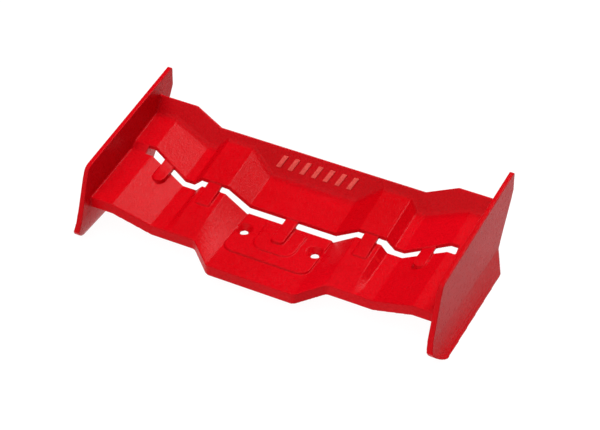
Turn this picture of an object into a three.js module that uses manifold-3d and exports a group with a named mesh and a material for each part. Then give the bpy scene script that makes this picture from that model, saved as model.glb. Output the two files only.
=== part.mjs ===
// Rear wing for a 1/8 scale radio controlled car: one red nylon moulding with two folded planes, a slot
// between them bridged by five fingers, a steep lip along the back, and an endplate at each side.
// Millimetres. +X is to the right seen from the front, +Y is rearwards, +Z is up. The origin is midway
// along the wing, midway between the endplates, on the surface that the endplate feet stand on.
import * as THREE from 'three';
import { mergeVertices } from 'three/addons/utils/BufferGeometryUtils.js';
import Module from 'manifold-3d';

const wasm = await Module();
wasm.setup();

// ---- Driving dimensions ----

// Across the wing, from the centre line outwards to the folds.
const inner_half_width = 95;      // centre line to the inner face of an endplate
const centre_fold_x = 24;         // edge of the level centre
const ridge_inner_x = 36.5;       // where the slope beside the centre meets the ridge
const lower_ridge_outer_x = 50;
const lower_step_foot_x = 53.5;
const upper_ridge_outer_x = 51.5;
const upper_step_foot_x = 56;
const valley_outer_x = 61.3;
const outer_fold_x = 82.5;        // where the outer slope meets the outer flat

// Walls and clearances.
const plane_wall = 2.2;
const leading_wall = 2.2;         // thickness of the turned-down leading edge
const leading_depth = 6;          // height of the leading edge
const lip_wall = 2;
const endplate_top_wall = 2.3;
const endplate_foot_wall = 2.9;   // thickness where the endplate meets its foot
const seam_gap = 0.1;             // between members that meet face to face

// Lower plane: [front y, front height, crease height, slot y, slot height] of the top face at each fold.
const crease_y = -22.6;           // where the bevel at the front of each ridge ends
const platform_height = 13.4;
const platform_rise = 0.9;        // from the front of the level centre to the slot
const lower_front_y = -46.4;
const lower_shoulder_y = -35.6;
const lower_outer_front_y = -37;
const lower_slot_y = -3.3;
const lower_outer_slot_y = 2.8;
const shoulder_height = 16.4;     // front edge outboard of the centre
const bevel_top_height = 20.3;
const lower_ridge_height = 22.8;  // ridge at the slot
const lower_valley_height = 18.9; // valley at the slot
const lower_outer_front_height = 23;
const lower_outer_slot_height = 26.5;
const twist_steps = 5;            // cuts along and across the twisted panels beside the centre

// Upper plane: its front edge stands above and behind the lower plane's rear edge.
const slot_width = 2.7;
const outer_slot_width = 4.2;
const upper_centre_height = 18.4;
const upper_ridge_height = 25.9;
const upper_valley_height = 21.6;
const upper_outer_height = 29;
const upper_slope = 0.155;        // rise per length of the upper plane towards the lip

// Lip: one flat strip whose top edge steps up towards the endplates.
const lip_slope = 1.563;          // rise per length of the lip's front face
const lip_top_y = 30;
const lip_top_height = 34.6;
const lip_step_height = 5.9;      // how much higher the outer lengths of the lip are
const cove_run = 1.8;             // reach of the cove at the lip's root, along the plane and up the lip
const lip_step_inner_x = 57.5;
const lip_step_outer_x = 73.5;

// Endplate outline, seen from the side.
const plate_top_front = [-36.7, 41];
const plate_tip = [46.7, 50.1];
const plate_rear_kink = [46.6, 39.4];
const plate_bottom_rear_y = 28.2;
const plate_crease = [30.8, 14];
const plate_front_knee = [-48.6, 7.9];
const plate_bottom_front_y = -39.6;
const foot_front_squareness = 1.4; // 1 cuts the foot's front corner straight, and 2 rounds it as an ellipse
const foot_front_lean = 0.3;       // share of the foot's flare that is straight from the crease on
const foot_rear_lean = 1;
const foot_flare_curve = 3;        // the rest of the flare curves, and more than 3 starts it lower
const foot_heights = [1, 0.85, 0.7, 0.56, 0.42, 0.28, 0.15, 0.05, 0]; // levels, as shares of the crease's
const foot_front_spread = 5.1;    // how far the foot flares outwards at its front
const foot_rear_spread = 3.1;
const foot_inner_spread = 3.5;    // how far the inner face of the foot moves outwards
const plate_front_radius = 5;
const plate_tip_radius = 1.2;
const plate_kink_radius = 3;

// Screw seats.
const screw_x = 19.75;
const screw_y = -15;
const screw_radius = 2.15;
const countersink_radius = 4.6;

// Raised details on the centre of the lower plane.
const pad_half_width = 23.4;
const pad_front_y = -32;
const pad_height = 0.8;
const pad_corner_radius = 5;
const boss_half_width = 11;
const boss_front_y = -25.2;
const boss_back_y = -6.5;
const boss_corner_radius = 6;
const boss_height = 0.5;

// Fingers over the slot: where each one's sides are, how far forward its tip reaches, how round the tip
// is, and how high the tip's level end stands above the highest point that it lies on.
const centre_finger = { x: [-3.3, 3.3], tipY: -18.3, tipRadius: 2, tipHeight: 1.1 };
const inner_finger = { x: [40, 47.3], tipY: -15, tipRadius: 0.6, tipHeight: 0.6 };
const outer_finger = { x: [69.5, 75.7], tipY: -10.4, tipRadius: 3, tipHeight: 0.4 };
const finger_root_drop = 0.7;     // from the upper plane's front edge down to a finger's top
const tip_arc_steps = 4;          // facets on each rounded corner of a tip
const slot_end_x = 86.6;          // the slot is closed outboard of this

// Plain raised bars on the lip.
const bar_count = 7;
const bar_pitch = 6.6;
const bar_width = 2.6;
const bar_length = 6.6;
const bar_slant = 3;
const bar_height = 0.8;
const bar_base_offset = 5;        // distance of the bars' lower edge above the lip's base

// ---- Folds of the two planes ----

const lowerFolds = [
  foldOfLower(0, lower_front_y, platform_height, null, lower_slot_y, platform_height + platform_rise),
  foldOfLower(centre_fold_x, lower_front_y, platform_height, null, lower_slot_y,
    platform_height + platform_rise),
  foldOfLower(ridge_inner_x, lower_shoulder_y, shoulder_height, bevel_top_height, lower_slot_y,
    lower_ridge_height),
  foldOfLower(lower_ridge_outer_x, lower_shoulder_y, shoulder_height, bevel_top_height, lower_slot_y,
    lower_ridge_height),
  foldOfLower(lower_step_foot_x, lower_shoulder_y, shoulder_height, null, lower_slot_y,
    lower_valley_height),
  foldOfLower(valley_outer_x, lower_shoulder_y, shoulder_height, null, lower_slot_y, lower_valley_height),
  foldOfLower(outer_fold_x, lower_outer_front_y, lower_outer_front_height, null, lower_outer_slot_y,
    lower_outer_slot_height),
  foldOfLower(inner_half_width - seam_gap, lower_outer_front_y, lower_outer_front_height, null,
    lower_outer_slot_y, lower_outer_slot_height),
];

const upperFolds = [
  foldOfUpper(0, lower_slot_y + slot_width, upper_centre_height),
  foldOfUpper(centre_fold_x, lower_slot_y + slot_width, upper_centre_height),
  foldOfUpper(ridge_inner_x, lower_slot_y + slot_width, upper_ridge_height),
  foldOfUpper(upper_ridge_outer_x, lower_slot_y + slot_width, upper_ridge_height),
  foldOfUpper(upper_step_foot_x, lower_slot_y + slot_width, upper_valley_height),
  foldOfUpper(valley_outer_x, lower_slot_y + slot_width, upper_valley_height),
  foldOfUpper(outer_fold_x, lower_outer_slot_y + outer_slot_width, upper_outer_height),
  foldOfUpper(inner_half_width - seam_gap, lower_outer_slot_y + outer_slot_width, upper_outer_height),
];

function foldOfLower(x, frontY, frontZ, creaseZ, slotY, slotZ) {
  const share = (crease_y - frontY) / (slotY - frontY);
  const straightZ = frontZ + share * (slotZ - frontZ);
  return { x, line: [[frontY, frontZ], [crease_y, creaseZ ?? straightZ], [slotY, slotZ]] };
}

// The upper plane runs back from its front edge until it meets the lip's front face.
function foldOfUpper(x, frontY, frontZ) {
  const lipZeroZ = lip_top_height - lip_slope * lip_top_y;
  const baseY = (frontZ - upper_slope * frontY - lipZeroZ) / (lip_slope - upper_slope);
  return { x, line: [[frontY, frontZ], [baseY, frontZ + upper_slope * (baseY - frontY)]] };
}

// The line of points of a plane's top face at any distance from the centre line.
function lineAt(folds, x) {
  const distance = Math.abs(x);
  const last = folds.length - 1;
  let k = 0;
  while (k < last - 1 && folds[k + 1].x < distance) k += 1;
  const share = (distance - folds[k].x) / (folds[k + 1].x - folds[k].x);
  return folds[k].line.map(([y, z], i) => {
    const [nextY, nextZ] = folds[k + 1].line[i];
    return [y + share * (nextY - y), z + share * (nextZ - z)];
  });
}

function heightAt(folds, x, y) {
  const line = lineAt(folds, x);
  let k = 0;
  while (k < line.length - 2 && line[k + 1][0] < y) k += 1;
  const share = (y - line[k][0]) / (line[k + 1][0] - line[k][0]);
  return line[k][1] + share * (line[k + 1][1] - line[k][1]);
}

// ---- Making closed meshes ----

function toGeometry(positions, indices) {
  const geometry = new THREE.BufferGeometry();
  geometry.setAttribute('position', new THREE.Float32BufferAttribute(positions.flat(), 3));
  geometry.setIndex(indices.flat());
  return faceOutwards(geometry);
}

function faceOutwards(geometry) {
  const p = geometry.getAttribute('position');
  const index = geometry.getIndex();
  const [a, b, c] = [new THREE.Vector3(), new THREE.Vector3(), new THREE.Vector3()];
  let volume = 0;
  for (let i = 0; i < index.count; i += 3) {
    a.fromBufferAttribute(p, index.getX(i));
    b.fromBufferAttribute(p, index.getX(i + 1));
    c.fromBufferAttribute(p, index.getX(i + 2));
    volume += a.dot(b.cross(c));
  }
  if (volume < 0) {
    for (let i = 0; i < index.count; i += 3) {
      const first = index.getX(i);
      index.setX(i, index.getX(i + 1));
      index.setX(i + 1, first);
    }
  }
  return geometry;
}

// A shell swept through stations. rows[k][s] is point k of the section loop at station s. The loop's
// second half runs back under its first half, so each end is closed like a ladder.
function shell(rows) {
  const count = rows.length;
  const stations = rows[0].length;
  const positions = rows.flat();
  const at = (k, s) => (k % count) * stations + s;
  const indices = [];
  for (let k = 0; k < count; k += 1) {
    for (let s = 0; s < stations - 1; s += 1) {
      indices.push([at(k, s), at(k + 1, s), at(k + 1, s + 1)]);
      indices.push([at(k, s), at(k + 1, s + 1), at(k, s + 1)]);
    }
  }
  for (let k = 0; k < count / 2 - 1; k += 1) {
    const [a, b, c, d] = [k, k + 1, count - 2 - k, count - 1 - k];
    const last = stations - 1;
    indices.push([at(a, 0), at(d, 0), at(c, 0)], [at(a, 0), at(c, 0), at(b, 0)]);
    indices.push([at(a, last), at(c, last), at(d, last)], [at(a, last), at(b, last), at(c, last)]);
  }
  return toGeometry(positions, indices);
}

// A slab between two faces that share one outline. near and far place an outline point in space.
function slab(outline, near, far) {
  const points = outline.map(([a, b]) => new THREE.Vector2(a, b));
  if (THREE.ShapeUtils.isClockWise(points)) points.reverse();
  const faces = THREE.ShapeUtils.triangulateShape(points, []);
  const count = points.length;
  const positions = [...points.map(({ x, y }) => near(x, y)), ...points.map(({ x, y }) => far(x, y))];
  const indices = [];
  for (const [a, b, c] of faces) {
    indices.push([a, c, b], [count + a, count + b, count + c]);
  }
  for (let i = 0; i < count; i += 1) {
    const next = (i + 1) % count;
    indices.push([i, next, count + next], [i, count + next, count + i]);
  }
  return toGeometry(positions, indices);
}

// Rounds the corners of an outline: each corner is [a, b, radius].
function rounded(corners, steps = 4) {
  return corners.flatMap(([y, z, radius], i) => {
    if (!radius) return [[y, z]];
    const corner = new THREE.Vector2(y, z);
    const towards = ([a, b]) => new THREE.Vector2(a, b).sub(corner).normalize();
    const before = towards(corners.at(i - 1));
    const after = towards(corners[(i + 1) % corners.length]);
    const half = Math.acos(before.dot(after)) / 2;
    const inwards = before.clone().add(after).normalize();
    const centre = corner.clone().addScaledVector(inwards, radius / Math.sin(half));
    const from = corner.clone().addScaledVector(before, radius / Math.tan(half)).sub(centre);
    const to = corner.clone().addScaledVector(after, radius / Math.tan(half)).sub(centre);
    const sweep = from.angleTo(to) * Math.sign(from.cross(to));
    const pivot = new THREE.Vector2();
    return Array.from({ length: steps + 1 }, (_, k) =>
      from.clone().rotateAround(pivot, (sweep * k) / steps).add(centre).toArray());
  });
}

function toSolid(geometry) {
  const bare = geometry.clone();
  bare.deleteAttribute('normal');
  bare.deleteAttribute('uv');
  const merged = mergeVertices(bare);
  return new wasm.Manifold(new wasm.Mesh({
    numProp: 3,
    vertProperties: new Float32Array(merged.getAttribute('position').array),
    triVerts: new Uint32Array(merged.getIndex().array),
  }));
}

function fromSolid(solid) {
  const mesh = solid.getMesh();
  const geometry = new THREE.BufferGeometry();
  geometry.setAttribute('position', new THREE.BufferAttribute(mesh.vertProperties, 3));
  geometry.setIndex(new THREE.BufferAttribute(mesh.triVerts, 1));
  return geometry;
}

// ---- Stations and offsets ----

// Mirrors a list of distances from the centre line into one list of x values.
function bothSides(distances) {
  const sorted = [...new Set(distances)].sort((a, b) => a - b);
  return [...sorted.filter((x) => x > 0).map((x) => -x).reverse(), ...sorted];
}

// Moves a row of points down by a wall, square to the folded line seen from the front.
function underside(row, wall) {
  return row.map(([x, y, z], s) => {
    const before = row[Math.max(s - 1, 0)];
    const after = row[Math.min(s + 1, row.length - 1)];
    const edges = [[before, [x, y, z]], [[x, y, z], after]].map(([a, b]) => {
      const run = new THREE.Vector2(b[0] - a[0], b[2] - a[2]).normalize();
      return new THREE.Vector2(run.y, -run.x);
    });
    if (s === 0 || s === row.length - 1) {
      const normal = s === 0 ? edges[1] : edges[0];
      return [x, y, z + wall / normal.y];
    }
    const sum = edges[0].clone().add(edges[1]);
    const scale = (2 * wall) / sum.lengthSq();
    return [x + sum.x * scale, y, z + sum.y * scale];
  });
}

const shift = (row, dy, dz) => row.map(([x, y, z]) => [x, y + dy, z + dz]);

// ---- Lower plane and its leading edge ----

// The panels beside the centre twist, so they are cut finely across and along.
function lowerStations() {
  const panel = Array.from({ length: twist_steps }, (_, k) =>
    THREE.MathUtils.lerp(centre_fold_x, ridge_inner_x, k / twist_steps));
  return bothSides([...lowerFolds.map((fold) => fold.x), ...panel]);
}

function lowerPlane() {
  const row = (share, startAt, endAt) => lowerStations().map((x) => {
    const y = THREE.MathUtils.lerp(startAt(x), endAt(x), share);
    return [x, y, heightAt(lowerFolds, x, y)];
  });
  const creaseAt = () => crease_y;
  const slotAt = (x) => lineAt(lowerFolds, x)[2][0];
  const shares = Array.from({ length: twist_steps }, (_, k) => k / twist_steps);
  const top = [
    ...shares.map((share) => row(share, behindLeadingEdge, creaseAt)),
    ...shares.map((share) => row(share, creaseAt, slotAt)),
    row(1, creaseAt, slotAt),
  ];
  const bottom = top.map((points, k) =>
    (k === 0 ? shift(points, 0, -plane_wall) : underside(points, plane_wall)));
  return fromSolid(toSolid(shell([...top, ...bottom.toReversed()])).subtract(screwSeats()));
}

// Where the plane starts, a seam behind the leading edge's rear face.
function behindLeadingEdge(x) {
  return lineAt(lowerFolds, x)[0][0] + leading_wall + seam_gap;
}

function leadingEdge() {
  const front = lowerStations().map((x) => [x, ...lineAt(lowerFolds, x)[0]]);
  const back = front.map(([x, y]) => [x, y + leading_wall, heightAt(lowerFolds, x, y + leading_wall)]);
  return shell([front, back, shift(back, 0, -leading_depth), shift(front, 0, -leading_depth)]);
}

// Two countersunk screw holes, as one tool solid that reaches past both faces.
function screwSeats() {
  const sinkDepth = countersink_radius - screw_radius;
  const reach = 2 * leading_depth;
  const profile = [
    new THREE.Vector2(0, -reach),
    new THREE.Vector2(screw_radius, -reach),
    new THREE.Vector2(screw_radius, -sinkDepth),
    new THREE.Vector2(countersink_radius, 0),
    new THREE.Vector2(countersink_radius, reach),
    new THREE.Vector2(0, reach),
  ];
  const tools = [-screw_x, screw_x].map((x) => {
    const geometry = new THREE.LatheGeometry(profile, 32);
    geometry.rotateX(Math.PI / 2);
    geometry.translate(x, screw_y, heightAt(lowerFolds, x, screw_y) + seam_gap + pad_height);
    return toSolid(faceOutwards(geometry));
  });
  return tools[0].add(tools[1]);
}

// ---- Raised pad and boss on the centre of the lower plane ----

// A slab of even height that lies on the level centre of the lower plane. The outline is [x, y] points.
function slabOnCentre(outline, bottom, top) {
  const lift = (height) => (x, y) => [x, y, heightAt(lowerFolds, 0, y) + height];
  return slab(outline, lift(bottom), lift(top));
}

function mountPad() {
  const outline = rounded([
    [-pad_half_width, pad_front_y, pad_corner_radius],
    [pad_half_width, pad_front_y, pad_corner_radius],
    [pad_half_width, lower_slot_y],
    [-pad_half_width, lower_slot_y],
  ]);
  const pad = slabOnCentre(outline, seam_gap, seam_gap + pad_height);
  return fromSolid(toSolid(pad).subtract(screwSeats()));
}

function centreBoss() {
  const outline = rounded([
    [-boss_half_width, boss_front_y, boss_corner_radius],
    [boss_half_width, boss_front_y, boss_corner_radius],
    [boss_half_width, boss_back_y],
    [-boss_half_width, boss_back_y],
  ], 6);
  const bottom = 2 * seam_gap + pad_height;
  return slabOnCentre(outline, bottom, bottom + boss_height);
}

// ---- Upper plane and lip ----

// The rows of points where the upper plane's top meets the lip, with the cove that rounds the corner.
function lipRoot(stations) {
  const base = stations.map((x) => [x, ...lineAt(upperFolds, x)[1]]);
  const alongPlane = cove_run / Math.hypot(1, upper_slope);
  const alongLip = cove_run / Math.hypot(1, lip_slope);
  const foot = shift(base, -alongPlane, -alongPlane * upper_slope);
  const top = shift(base, alongLip, alongLip * lip_slope);
  const middle = base.map(([x, y, z], s) => [x, (foot[s][1] + 2 * y + top[s][1]) / 4,
    (foot[s][2] + 2 * z + top[s][2]) / 4]);
  const keel = underside(base, plane_wall).map(([x, y, z]) => [x, y + lipKeelOffset(), z]);
  return { foot, middle, top, keel };
}

function upperPlane() {
  const stations = bothSides(upperFolds.map((fold) => fold.x));
  const front = stations.map((x) => [x, ...lineAt(upperFolds, x)[0]]);
  const { foot, middle, top, keel } = lipRoot(stations);
  return shell([front, foot, middle, top, lipRear(top), keel, underside(foot, plane_wall),
    shift(front, 0, -plane_wall)]);
}

// How far behind the lip's base the plane's underside meets the lip's rear face.
function lipKeelOffset() {
  const lipRun = (lip_wall * Math.hypot(1, lip_slope)) / lip_slope;
  return (lipRun * lip_slope - plane_wall) / (lip_slope - upper_slope);
}

// Moves a row from the lip's front face to its rear face.
function lipRear(row) {
  const slant = Math.hypot(1, lip_slope);
  return shift(row, (lip_wall * lip_slope) / slant, -lip_wall / slant);
}

// The lip's top edge: level in the middle, a step up, and level again out to the endplates.
function lipTopAt(x) {
  const share = THREE.MathUtils.clamp(
    (Math.abs(x) - lip_step_inner_x) / (lip_step_outer_x - lip_step_inner_x), 0, 1);
  const rise = share * lip_step_height;
  return [lip_top_y + rise / lip_slope, lip_top_height + rise];
}

function rearLip() {
  const stations = bothSides([...upperFolds.map((fold) => fold.x), lip_step_inner_x, lip_step_outer_x]);
  const start = shift(lipRoot(stations).top, seam_gap, seam_gap * lip_slope);
  const top = stations.map((x) => [x, ...lipTopAt(x)]);
  return shell([start, top, lipRear(top), lipRear(start)]);
}

// ---- Fingers over the slot ----

// A tongue from the upper plane's front edge down onto whatever it lies on, with a rounded, level tip.
function finger({ x, tipY, tipRadius, tipHeight }, side, restHeight) {
  const [fromX, toX] = x;
  const insets = Array.from({ length: tip_arc_steps + 1 }, (_, k) =>
    tipRadius * (1 - Math.cos((k * Math.PI) / 2 / tip_arc_steps)));
  const stations = [...insets.map((inset) => fromX + inset),
    ...insets.toReversed().map((inset) => toX - inset)];
  const rest = (at, y) => heightAt(lowerFolds, at, y) + restHeight;
  const tipZ = Math.max(rest(fromX, tipY), rest(toX, tipY)) + tipHeight;
  const rows = [[], [], [], [], [], []];
  for (const at of stations) {
    const cornerInset = tipRadius - Math.min(tipRadius, at - fromX, toX - at);
    const endY = tipY + tipRadius - Math.sqrt(tipRadius ** 2 - cornerInset ** 2);
    const slotY = lineAt(lowerFolds, at)[2][0];
    const [edgeY, edgeZ] = lineAt(upperFolds, at)[0];
    const rootY = edgeY - seam_gap;
    const topAt = (y) => THREE.MathUtils.mapLinear(y, tipY, rootY, tipZ, edgeZ - finger_root_drop);
    rows[0].push([side * at, endY, topAt(endY)]);
    rows[1].push([side * at, slotY, topAt(slotY)]);
    rows[2].push([side * at, rootY, topAt(rootY)]);
    rows[3].push([side * at, rootY, Math.max(rest(at, slotY), edgeZ - plane_wall)]);
    rows[4].push([side * at, slotY, rest(at, slotY)]);
    rows[5].push([side * at, endY, rest(at, endY)]);
  }
  return shell(rows);
}

// Closes the slot beside an endplate.
function slotCloser(side) {
  const stations = [slot_end_x, inner_half_width - seam_gap].map((x) => x * side);
  const rows = [[], [], [], []];
  for (const x of stations) {
    const [slotY, slotZ] = lineAt(lowerFolds, x)[2];
    const [frontY, frontZ] = lineAt(upperFolds, x)[0];
    rows[0].push([x, slotY + seam_gap, slotZ]);
    rows[1].push([x, frontY - seam_gap, frontZ]);
    rows[2].push([x, frontY - seam_gap, frontZ - plane_wall]);
    rows[3].push([x, slotY + seam_gap, slotZ - plane_wall]);
  }
  return shell(rows);
}

// ---- Endplates and feet ----

function frontEdgeY(z) {
  const [topY, topZ] = plate_top_front;
  const [kneeY, kneeZ] = plate_front_knee;
  return kneeY + ((z - kneeZ) * (topY - kneeY)) / (topZ - kneeZ);
}

function endplate(side) {
  const outline = rounded([
    [...plate_top_front, plate_front_radius],
    [...plate_tip, plate_tip_radius],
    [...plate_rear_kink, plate_kink_radius],
    [...plate_crease],
    [frontEdgeY(plate_crease[1]), plate_crease[1]],
  ]);
  const grow = (endplate_foot_wall - endplate_top_wall) / (plate_tip[1] - plate_crease[1]);
  const wallAt = (z) => endplate_top_wall + grow * (plate_tip[1] - z);
  const inner = (y, z) => [side * inner_half_width, y, z];
  const outer = (y, z) => [side * (inner_half_width + wallAt(z)), y, z];
  return slab(outline, inner, outer);
}

// The foot curves outwards from the endplate's crease to the surface it stands on.
function foot(side) {
  const creaseZ = plate_crease[1] - seam_gap;
  const [kneeY, kneeZ] = plate_front_knee;
  const levels = foot_heights.map((share) => share * creaseZ);
  const flare = (z, lean) => {
    const down = 1 - z / creaseZ;
    return lean * down + (1 - lean) * down ** foot_flare_curve;
  };
  const rearY = (z) => plate_bottom_rear_y + (z / plate_crease[1]) * (plate_crease[0] - plate_bottom_rear_y);
  const frontY = (z) => {
    if (z > kneeZ) return frontEdgeY(z);
    const down = (1 - z / kneeZ) ** foot_front_squareness;
    return kneeY + (plate_bottom_front_y - kneeY) * (1 - (1 - down) ** (1 / foot_front_squareness));
  };
  const outer = inner_half_width + endplate_foot_wall;
  const section = (y, spread, lean) => [
    ...levels.map((z) => [side * (inner_half_width + foot_inner_spread * flare(z, lean)), y(z), z]),
    ...levels.toReversed().map((z) => [side * (outer + spread * flare(z, lean)), y(z), z]),
  ];
  const front = section(frontY, foot_front_spread, foot_front_lean);
  const rear = section(rearY, foot_rear_spread, foot_rear_lean);
  return shell(front.map((point, k) => [point, rear[k]]));
}

// ---- Raised bars on the lip ----

function lipBar(number) {
  const slant = Math.hypot(1, lip_slope);
  const up = [1 / slant, lip_slope / slant];
  const out = [-lip_slope / slant, 1 / slant];
  const centreX = (number - (bar_count + 1) / 2) * bar_pitch;
  const [baseY, baseZ] = lineAt(upperFolds, 0)[1];
  const corner = (acrossX, along, lift) => [
    centreX + acrossX,
    baseY + up[0] * along + out[0] * lift,
    baseZ + up[1] * along + out[1] * lift,
  ];
  const low = bar_base_offset;
  const high = bar_base_offset + bar_length;
  const raised = seam_gap + bar_height;
  const rows = [[low, seam_gap], [low, raised], [high, raised], [high, seam_gap]];
  return shell(rows.map(([along, lift]) => {
    const lean = ((along - low) / bar_length - 0.5) * bar_slant;
    return [corner(lean - bar_width / 2, along, lift), corner(lean + bar_width / 2, along, lift)];
  }));
}

// ---- The wing ----

const group = new THREE.Group();

function add(name, geometry) {
  const material = new THREE.MeshStandardMaterial({ color: 0xd00010, roughness: 0.45, metalness: 0 });
  const mesh = new THREE.Mesh(geometry, material);
  mesh.name = name;
  group.add(mesh);
}

add('lower_plane', lowerPlane());
add('leading_edge', leadingEdge());
add('mount_pad', mountPad());
add('centre_boss', centreBoss());
add('upper_plane', upperPlane());
add('rear_lip', rearLip());
add('slot_finger_centre', finger(centre_finger, 1, 3 * seam_gap + pad_height + boss_height));
for (const [sideName, side] of [['left', -1], ['right', 1]]) {
  add(`endplate_${sideName}`, endplate(side));
  add(`endplate_foot_${sideName}`, foot(side));
  add(`slot_finger_inner_${sideName}`, finger(inner_finger, side, seam_gap));
  add(`slot_finger_outer_${sideName}`, finger(outer_finger, side, seam_gap));
  add(`slot_end_${sideName}`, slotCloser(side));
}
for (let number = 1; number <= bar_count; number += 1) {
  add(`lip_bar_${number}`, lipBar(number));
}

// Puts the origin midway along the whole wing.
const box = new THREE.Box3().setFromObject(group);
group.position.y = -(box.min.y + box.max.y) / 2;

export default group;
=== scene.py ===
"""Looks for a moulded rear wing: one red nylon moulding, rounded at every fold and edge, in a white studio.

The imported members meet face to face. Here they are joined into one moulding with rounded folds and fillets,
which is then cut at the endplates, so that the wing's deck and its two endplates are closed pieces.
"""

from math import pi, radians

import bmesh
import bpy
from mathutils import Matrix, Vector


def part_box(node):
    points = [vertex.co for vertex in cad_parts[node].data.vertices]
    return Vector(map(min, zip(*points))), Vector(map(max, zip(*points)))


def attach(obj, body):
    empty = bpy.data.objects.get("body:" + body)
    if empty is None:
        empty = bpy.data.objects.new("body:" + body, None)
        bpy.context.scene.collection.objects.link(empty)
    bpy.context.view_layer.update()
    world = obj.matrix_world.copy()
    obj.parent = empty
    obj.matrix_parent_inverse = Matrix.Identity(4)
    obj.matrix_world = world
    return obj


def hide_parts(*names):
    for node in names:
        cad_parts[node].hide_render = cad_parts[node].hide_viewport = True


# ---- Sizes, in metres ----

voxel = 0.00032
weld_distance = 1e-6
flat_limit = radians(1)     # faces that meet at less than this are one flat face
seam_swell = 0.00007        # closes the seams between the members
fold_radius = 0.0013
fold_segments = 4
least_fold = radians(12)
most_fold = radians(75)
least_fold_length = 0.003
most_fold_skew = 0.3        # how far a fold may run along the span, as a share of its length
smoothing_share = 0.5
edge_softening = 3          # smoothing steps that round every edge
bar_radius = 0.00022
bar_segments = 3
round_profile = 0.5         # a bevel's profile that is an arc of a circle
bar_sink = 0.0002           # how far the raised bars go into the lip

# ---- Material: noise scales are waves per metre, heights are metres ----

plastic_ior = 1.15          # low, so that the white floor shows little on faces seen at a slant
gloss_tint = (1, 0.75, 0.75, 1)
roughness_range = (0.25, 0.35)

TONE_NOISE = {"scale": 28, "detail": 3}
SHEEN_NOISE = {"scale": 420, "detail": 4}
BROAD_NOISE = {"scale": 190, "detail": 2}
GRAIN_NOISE = {"scale": 1000, "detail": 4, "roughness": 0.68}
GRAIN_BUMP = {"strength": 0.9, "height": 0.00022}
BROAD_BUMP = {"strength": 0.15, "height": 0.0006}

noise_middle = (0.3, 0.7)   # the values that most of a noise lies between
speck_noise = (0.4, 0.64)   # from where the grain starts to darken the red to where it darkens it most
# Painted shade: over this Pointiness range the red is darkened in tight inside corners, where shade falls.
root_shade_curve = (0.44, 0.49)   # Pointiness from a tight inside corner to almost flat
# Painted highlight: over this Pointiness range the red is made paler on sharp outside edges.
edge_highlight_curve = (0.54, 0.64)   # Pointiness from a slight outside curve to a sharp edge
speck_share = 0.4
# the most painted shade that darkens tight inside corners
root_shade_share = 0.6
# the most painted highlight on sharp outside edges
edge_highlight_share = 0.3
speck_red = (0.33, 0.0, 0.002, 1)
# the dark red painted into tight inside corners as shade
root_shade_red = (0.2, 0.0, 0.001, 1)

PLAIN_REDS = {
    # edge: a paler red painted on sharp outside edges as a highlight
    "edge": (0.70, 0.012, 0.012, 1),
    "dull": (0.47, 0.0004, 0.003, 1),
    "bright": (0.54, 0.001, 0.0055, 1),
}
# Paler reds for the raised bars: painted sheen, in place of the light that the bars' tops catch.
PAINTED_SHEEN_REDS = {
    # edge: a paler red painted on sharp outside edges as a highlight
    "edge": (0.85, 0.16, 0.13, 1),
    "dull": (0.66, 0.07, 0.06, 1),
    "bright": (0.72, 0.1, 0.08, 1),
}

# ---- Studio ----

white = (1, 1, 1, 1)
floor_half_width = 6
floor_drop = 0.0001
floor_grey = (0.08, 0.08, 0.08, 1)
floor_roughness = 0.9
floor_glow = 0.96
world_brightness = 0.05

# name, direction towards the light, brightness, and the angle that it fills in degrees
SOFTBOXES = [
    ("overhead_softbox", (-0.14, -0.40, 0.91), 0.64, 60),
    ("front_softbox", (-0.10, -0.93, 0.35), 0.38, 50),
    ("back_softbox", (0.18, 0.57, 0.80), 0.94, 20),
]

camera_place = (0.3870, -0.73745, 0.6984)
camera_tilt = 50.8783
camera_turn = 27.4323
camera_lens = 129.87
camera_nearest = 0.01
sensor_width = 36

FOLDED_NODES = ["lower_plane", "leading_edge", "upper_plane", "rear_lip"]


# ---- The moulding ----


def new_object(name, data):
    """A new object in the scene that holds a mesh, a light or a camera."""
    thing = bpy.data.objects.new(name, data)
    bpy.context.scene.collection.objects.link(thing)
    return thing


def smooth_object(name, bm):
    """A new object with the bmesh's shape and smooth shading."""
    for face in bm.faces:
        face.smooth = True
    mesh = bpy.data.meshes.new(name)
    bm.to_mesh(mesh)
    bm.free()
    return new_object(name, mesh)


def welded_copy(node):
    """A bmesh of a CAD node with its shared corners joined and its flat faces whole."""
    bm = bmesh.new()
    bm.from_mesh(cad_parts[node].data)
    bmesh.ops.remove_doubles(bm, verts=bm.verts, dist=weld_distance)
    bmesh.ops.dissolve_limit(bm, angle_limit=flat_limit, verts=bm.verts, edges=bm.edges)
    return bm


def round_folds(bm):
    """Rounds the long folds that run from the front of a plane to its back."""
    folds = []
    for edge in bm.edges:
        run = edge.verts[1].co - edge.verts[0].co
        is_long = run.length > least_fold_length and abs(run.x) < most_fold_skew * run.length
        if is_long and len(edge.link_faces) == 2 and least_fold < edge.calc_face_angle() < most_fold:
            folds.append(edge)
    bmesh.ops.bevel(
        bm,
        geom=folds,
        offset=fold_radius,
        segments=fold_segments,
        profile=round_profile,
        affect="EDGES",
        clamp_overlap=True,
    )


def swell(bm, amount):
    """Moves every face outwards by about the same small amount."""
    bm.normal_update()
    moves = [vert.normal * vert.calc_shell_factor() * amount for vert in bm.verts]
    for vert, move in zip(bm.verts, moves):
        vert.co += move


def with_modifiers(name, mesh, settings):
    """The mesh after a list of modifiers, each a type and its values."""
    holder = new_object(name, mesh)
    for kind, values in settings:
        modifier = holder.modifiers.new(kind.lower(), kind)
        for key, value in values.items():
            setattr(modifier, key, value)
    depsgraph = bpy.context.evaluated_depsgraph_get()
    result = bpy.data.meshes.new_from_object(holder.evaluated_get(depsgraph))
    bpy.data.objects.remove(holder)
    return result


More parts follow.
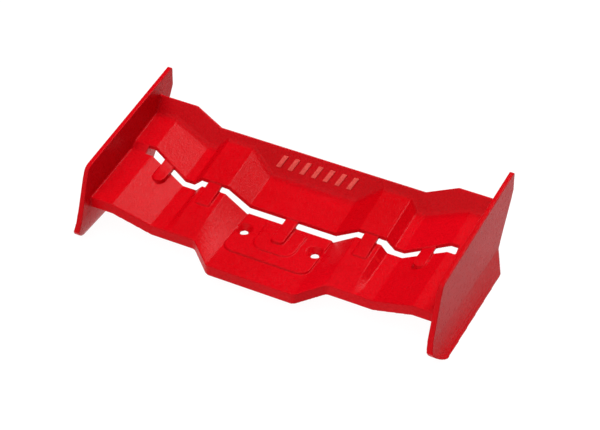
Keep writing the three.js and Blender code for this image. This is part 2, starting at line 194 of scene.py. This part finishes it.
def fused_moulding(nodes):
    """One closed mesh of all the members, with fillets between them."""
    whole = bmesh.new()
    for node in nodes:
        member = welded_copy(node)
        if node in FOLDED_NODES:
            round_folds(member)
        swell(member, seam_swell)
        mesh = bpy.data.meshes.new(node)
        member.to_mesh(mesh)
        member.free()
        whole.from_mesh(mesh)
        bpy.data.meshes.remove(mesh)
    joined = bpy.data.meshes.new("members")
    whole.to_mesh(joined)
    whole.free()
    return with_modifiers("moulding", joined, [
        ("REMESH", {"mode": "VOXEL", "voxel_size": voxel}),
        ("SMOOTH", {"factor": smoothing_share, "iterations": edge_softening}),
    ])


def keep_between(mesh, name, low_x, high_x):
    """The closed part of a mesh between two planes across the wing. None leaves that side whole."""
    bm = bmesh.new()
    bm.from_mesh(mesh)
    for x, direction in ((low_x, -1), (high_x, 1)):
        if x is None:
            continue
        everything = list(bm.verts) + list(bm.edges) + list(bm.faces)
        cut = bmesh.ops.bisect_plane(
            bm,
            geom=everything,
            plane_co=(x, 0, 0),
            plane_no=(direction, 0, 0),
            clear_outer=True,
        )
        rim = [part for part in cut["geom_cut"] if isinstance(part, bmesh.types.BMEdge)]
        bmesh.ops.triangle_fill(bm, edges=rim, use_beauty=True)
        for edge in rim:
            edge.smooth = False
    return smooth_object(name, bm)


def raised_bar(node):
    """A plain bar on the lip, with rounded edges, sunk a little way into the lip."""
    bm = welded_copy(node)
    widest = max(bm.faces, key=lambda face: face.calc_area())
    inwards = widest.normal if widest.normal.y > 0 else -widest.normal
    bmesh.ops.translate(bm, verts=bm.verts, vec=inwards * bar_sink)
    bmesh.ops.bevel(
        bm,
        geom=bm.edges,
        offset=bar_radius,
        segments=bar_segments,
        profile=round_profile,
        affect="EDGES",
    )
    return smooth_object(f"raised_{node}", bm)


# ---- The material's parts ----


class Shading:
    """Adds nodes to one material, and gives back the socket that holds each one's result."""

    def __init__(self, material):
        self.nodes = material.node_tree.nodes
        self.links = material.node_tree.links
        self.place = self.nodes.new("ShaderNodeTexCoord").outputs["Object"]

    def feed(self, socket, value):
        """Links a socket to another, or sets it to a plain value."""
        if isinstance(value, bpy.types.NodeSocket):
            self.links.new(value, socket)
        else:
            socket.default_value = value

    def noise(self, scale, detail, roughness=0.5):
        node = self.nodes.new("ShaderNodeTexNoise")
        node.inputs["Scale"].default_value = scale
        node.inputs["Detail"].default_value = detail
        node.inputs["Roughness"].default_value = roughness
        self.feed(node.inputs["Vector"], self.place)
        return node.outputs["Fac"]

    def spread(self, value, old_range, new_range):
        """The value, carried from the old range to the new one and held at its ends."""
        node = self.nodes.new("ShaderNodeMapRange")
        node.inputs["From Min"].default_value = old_range[0]
        node.inputs["From Max"].default_value = old_range[1]
        node.inputs["To Min"].default_value = new_range[0]
        node.inputs["To Max"].default_value = new_range[1]
        self.feed(node.inputs["Value"], value)
        return node.outputs["Result"]

    def mix(self, share, first, second):
        """The first colour, with a share of the second."""
        node = self.nodes.new("ShaderNodeMix")
        node.data_type = "RGBA"
        first_colour, second_colour = [socket for socket in node.inputs if socket.type == "RGBA"]
        self.feed(node.inputs["Factor"], share)
        self.feed(first_colour, first)
        self.feed(second_colour, second)
        return next(socket for socket in node.outputs if socket.type == "RGBA")

    def bump(self, heights, strength, height, over=None):
        """A bumpy normal from noise, laid over another normal if one is given."""
        node = self.nodes.new("ShaderNodeBump")
        node.inputs["Strength"].default_value = strength
        node.inputs["Distance"].default_value = height
        self.feed(node.inputs["Height"], heights)
        if over is not None:
            self.feed(node.inputs["Normal"], over)
        return node.outputs["Normal"]


def red_nylon(name, reds):
    """Red moulded nylon: a fine grain, slow changes of tone, painted shade in tight inside corners, and a
    painted highlight on sharp outside edges.
    """
    material = bpy.data.materials.new(name)
    material.use_nodes = True
    surface = material.node_tree.nodes["Principled BSDF"].inputs
    surface["IOR"].default_value = plastic_ior
    surface["Specular Tint"].default_value = gloss_tint

    shading = Shading(material)
    tone_share = shading.spread(shading.noise(**TONE_NOISE), noise_middle, (0, 1))
    tone = shading.mix(tone_share, reds["dull"], reds["bright"])
    grain = shading.noise(**GRAIN_NOISE)
    speckled = shading.mix(shading.spread(grain, speck_noise, (0, speck_share)), tone, speck_red)
    curve = shading.nodes.new("ShaderNodeNewGeometry").outputs["Pointiness"]
    # Painted shade: darkens the red in tight inside corners.
    root_shaded = shading.mix(shading.spread(curve, root_shade_curve, (root_shade_share, 0)), speckled, root_shade_red)
    # Painted highlight: pales the red on sharp outside edges.
    edge_highlighted = shading.mix(shading.spread(curve, edge_highlight_curve, (0, edge_highlight_share)), root_shaded, reds["edge"])
    shading.feed(surface["Base Color"], edge_highlighted)

    sheen = shading.noise(**SHEEN_NOISE)
    shading.feed(surface["Roughness"], shading.spread(sheen, noise_middle, roughness_range))

    fine = shading.bump(grain, **GRAIN_BUMP)
    shading.feed(surface["Normal"], shading.bump(shading.noise(**BROAD_NOISE), **BROAD_BUMP, over=fine))
    return material


# ---- The studio's parts ----


def studio_floor():
    """A matte white sweep that stays white under the object."""
    mesh = bpy.data.meshes.new("floor")
    half = floor_half_width
    corners = [(-half, -half, 0), (half, -half, 0), (half, half, 0), (-half, half, 0)]
    mesh.from_pydata(corners, [], [(0, 1, 2, 3)])
    floor = new_object("floor", mesh)
    floor.location.z = -floor_drop
    material = bpy.data.materials.new("white_sweep")
    material.use_nodes = True
    surface = material.node_tree.nodes["Principled BSDF"].inputs
    surface["Base Color"].default_value = floor_grey
    surface["Roughness"].default_value = floor_roughness
    surface["Specular IOR Level"].default_value = 0
    surface["Emission Color"].default_value = white
    surface["Emission Strength"].default_value = floor_glow
    mesh.materials.append(material)


def soft_light(name, towards, brightness, spread_degrees):
    """A distant soft light. brightness 1 lights a white surface that faces it to full white."""
    light = bpy.data.lights.new(name, "SUN")
    light.energy = brightness * pi
    light.angle = radians(spread_degrees)
    lamp = new_object(name, light)
    lamp.rotation_euler = Vector(towards).to_track_quat("Z", "Y").to_euler()


def studio():
    """The floor, a faint even light from all round, the softboxes and the camera."""
    studio_floor()
    world = bpy.data.worlds.new("studio")
    world.use_nodes = True
    background = world.node_tree.nodes["Background"].inputs
    background["Color"].default_value = white
    background["Strength"].default_value = world_brightness
    bpy.context.scene.world = world
    for softbox in SOFTBOXES:
        soft_light(*softbox)
    camera = new_object("camera", bpy.data.cameras.new("camera"))
    camera.data.sensor_width = sensor_width
    camera.data.lens = camera_lens
    camera.data.clip_start = camera_nearest
    camera.location = camera_place
    camera.rotation_euler = (radians(camera_tilt), 0, radians(camera_turn))
    bpy.context.scene.camera = camera
    bpy.context.scene.view_settings.view_transform = "Standard"


# ---- The scene ----

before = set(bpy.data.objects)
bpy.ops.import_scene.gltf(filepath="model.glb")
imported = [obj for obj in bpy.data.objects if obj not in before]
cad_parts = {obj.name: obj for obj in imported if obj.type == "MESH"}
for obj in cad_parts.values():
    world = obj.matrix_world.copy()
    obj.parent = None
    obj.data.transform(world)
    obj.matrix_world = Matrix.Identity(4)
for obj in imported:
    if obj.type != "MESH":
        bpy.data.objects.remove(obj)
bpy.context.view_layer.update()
nylon = red_nylon("red_nylon", PLAIN_REDS)
# The raised bars get a paler copy of the red: painted sheen.
painted_sheen_nylon = red_nylon("painted_sheen_red_nylon", PAINTED_SHEEN_REDS)

bars = sorted(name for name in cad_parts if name.startswith("lip_bar_"))
members = sorted(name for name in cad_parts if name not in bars)
left_nodes = ["endplate_left", "endplate_foot_left"]
right_nodes = ["endplate_right", "endplate_foot_right"]
deck_nodes = [name for name in members if name not in left_nodes + right_nodes]

moulding = fused_moulding(members)
deck_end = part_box("lower_plane")[1].x
pieces = [
    (keep_between(moulding, "wing_deck", -deck_end, deck_end), nylon, deck_nodes),
    (keep_between(moulding, "moulded_endplate_left", None, -deck_end), nylon, left_nodes),
    (keep_between(moulding, "moulded_endplate_right", deck_end, None), nylon, right_nodes),
]
pieces += [(raised_bar(name), painted_sheen_nylon, [name]) for name in bars]

for piece, material, stands_for in pieces:
    piece.data.materials.clear()
    piece.data.materials.append(material)
    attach(piece, "root")
    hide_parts(*stands_for)

studio()
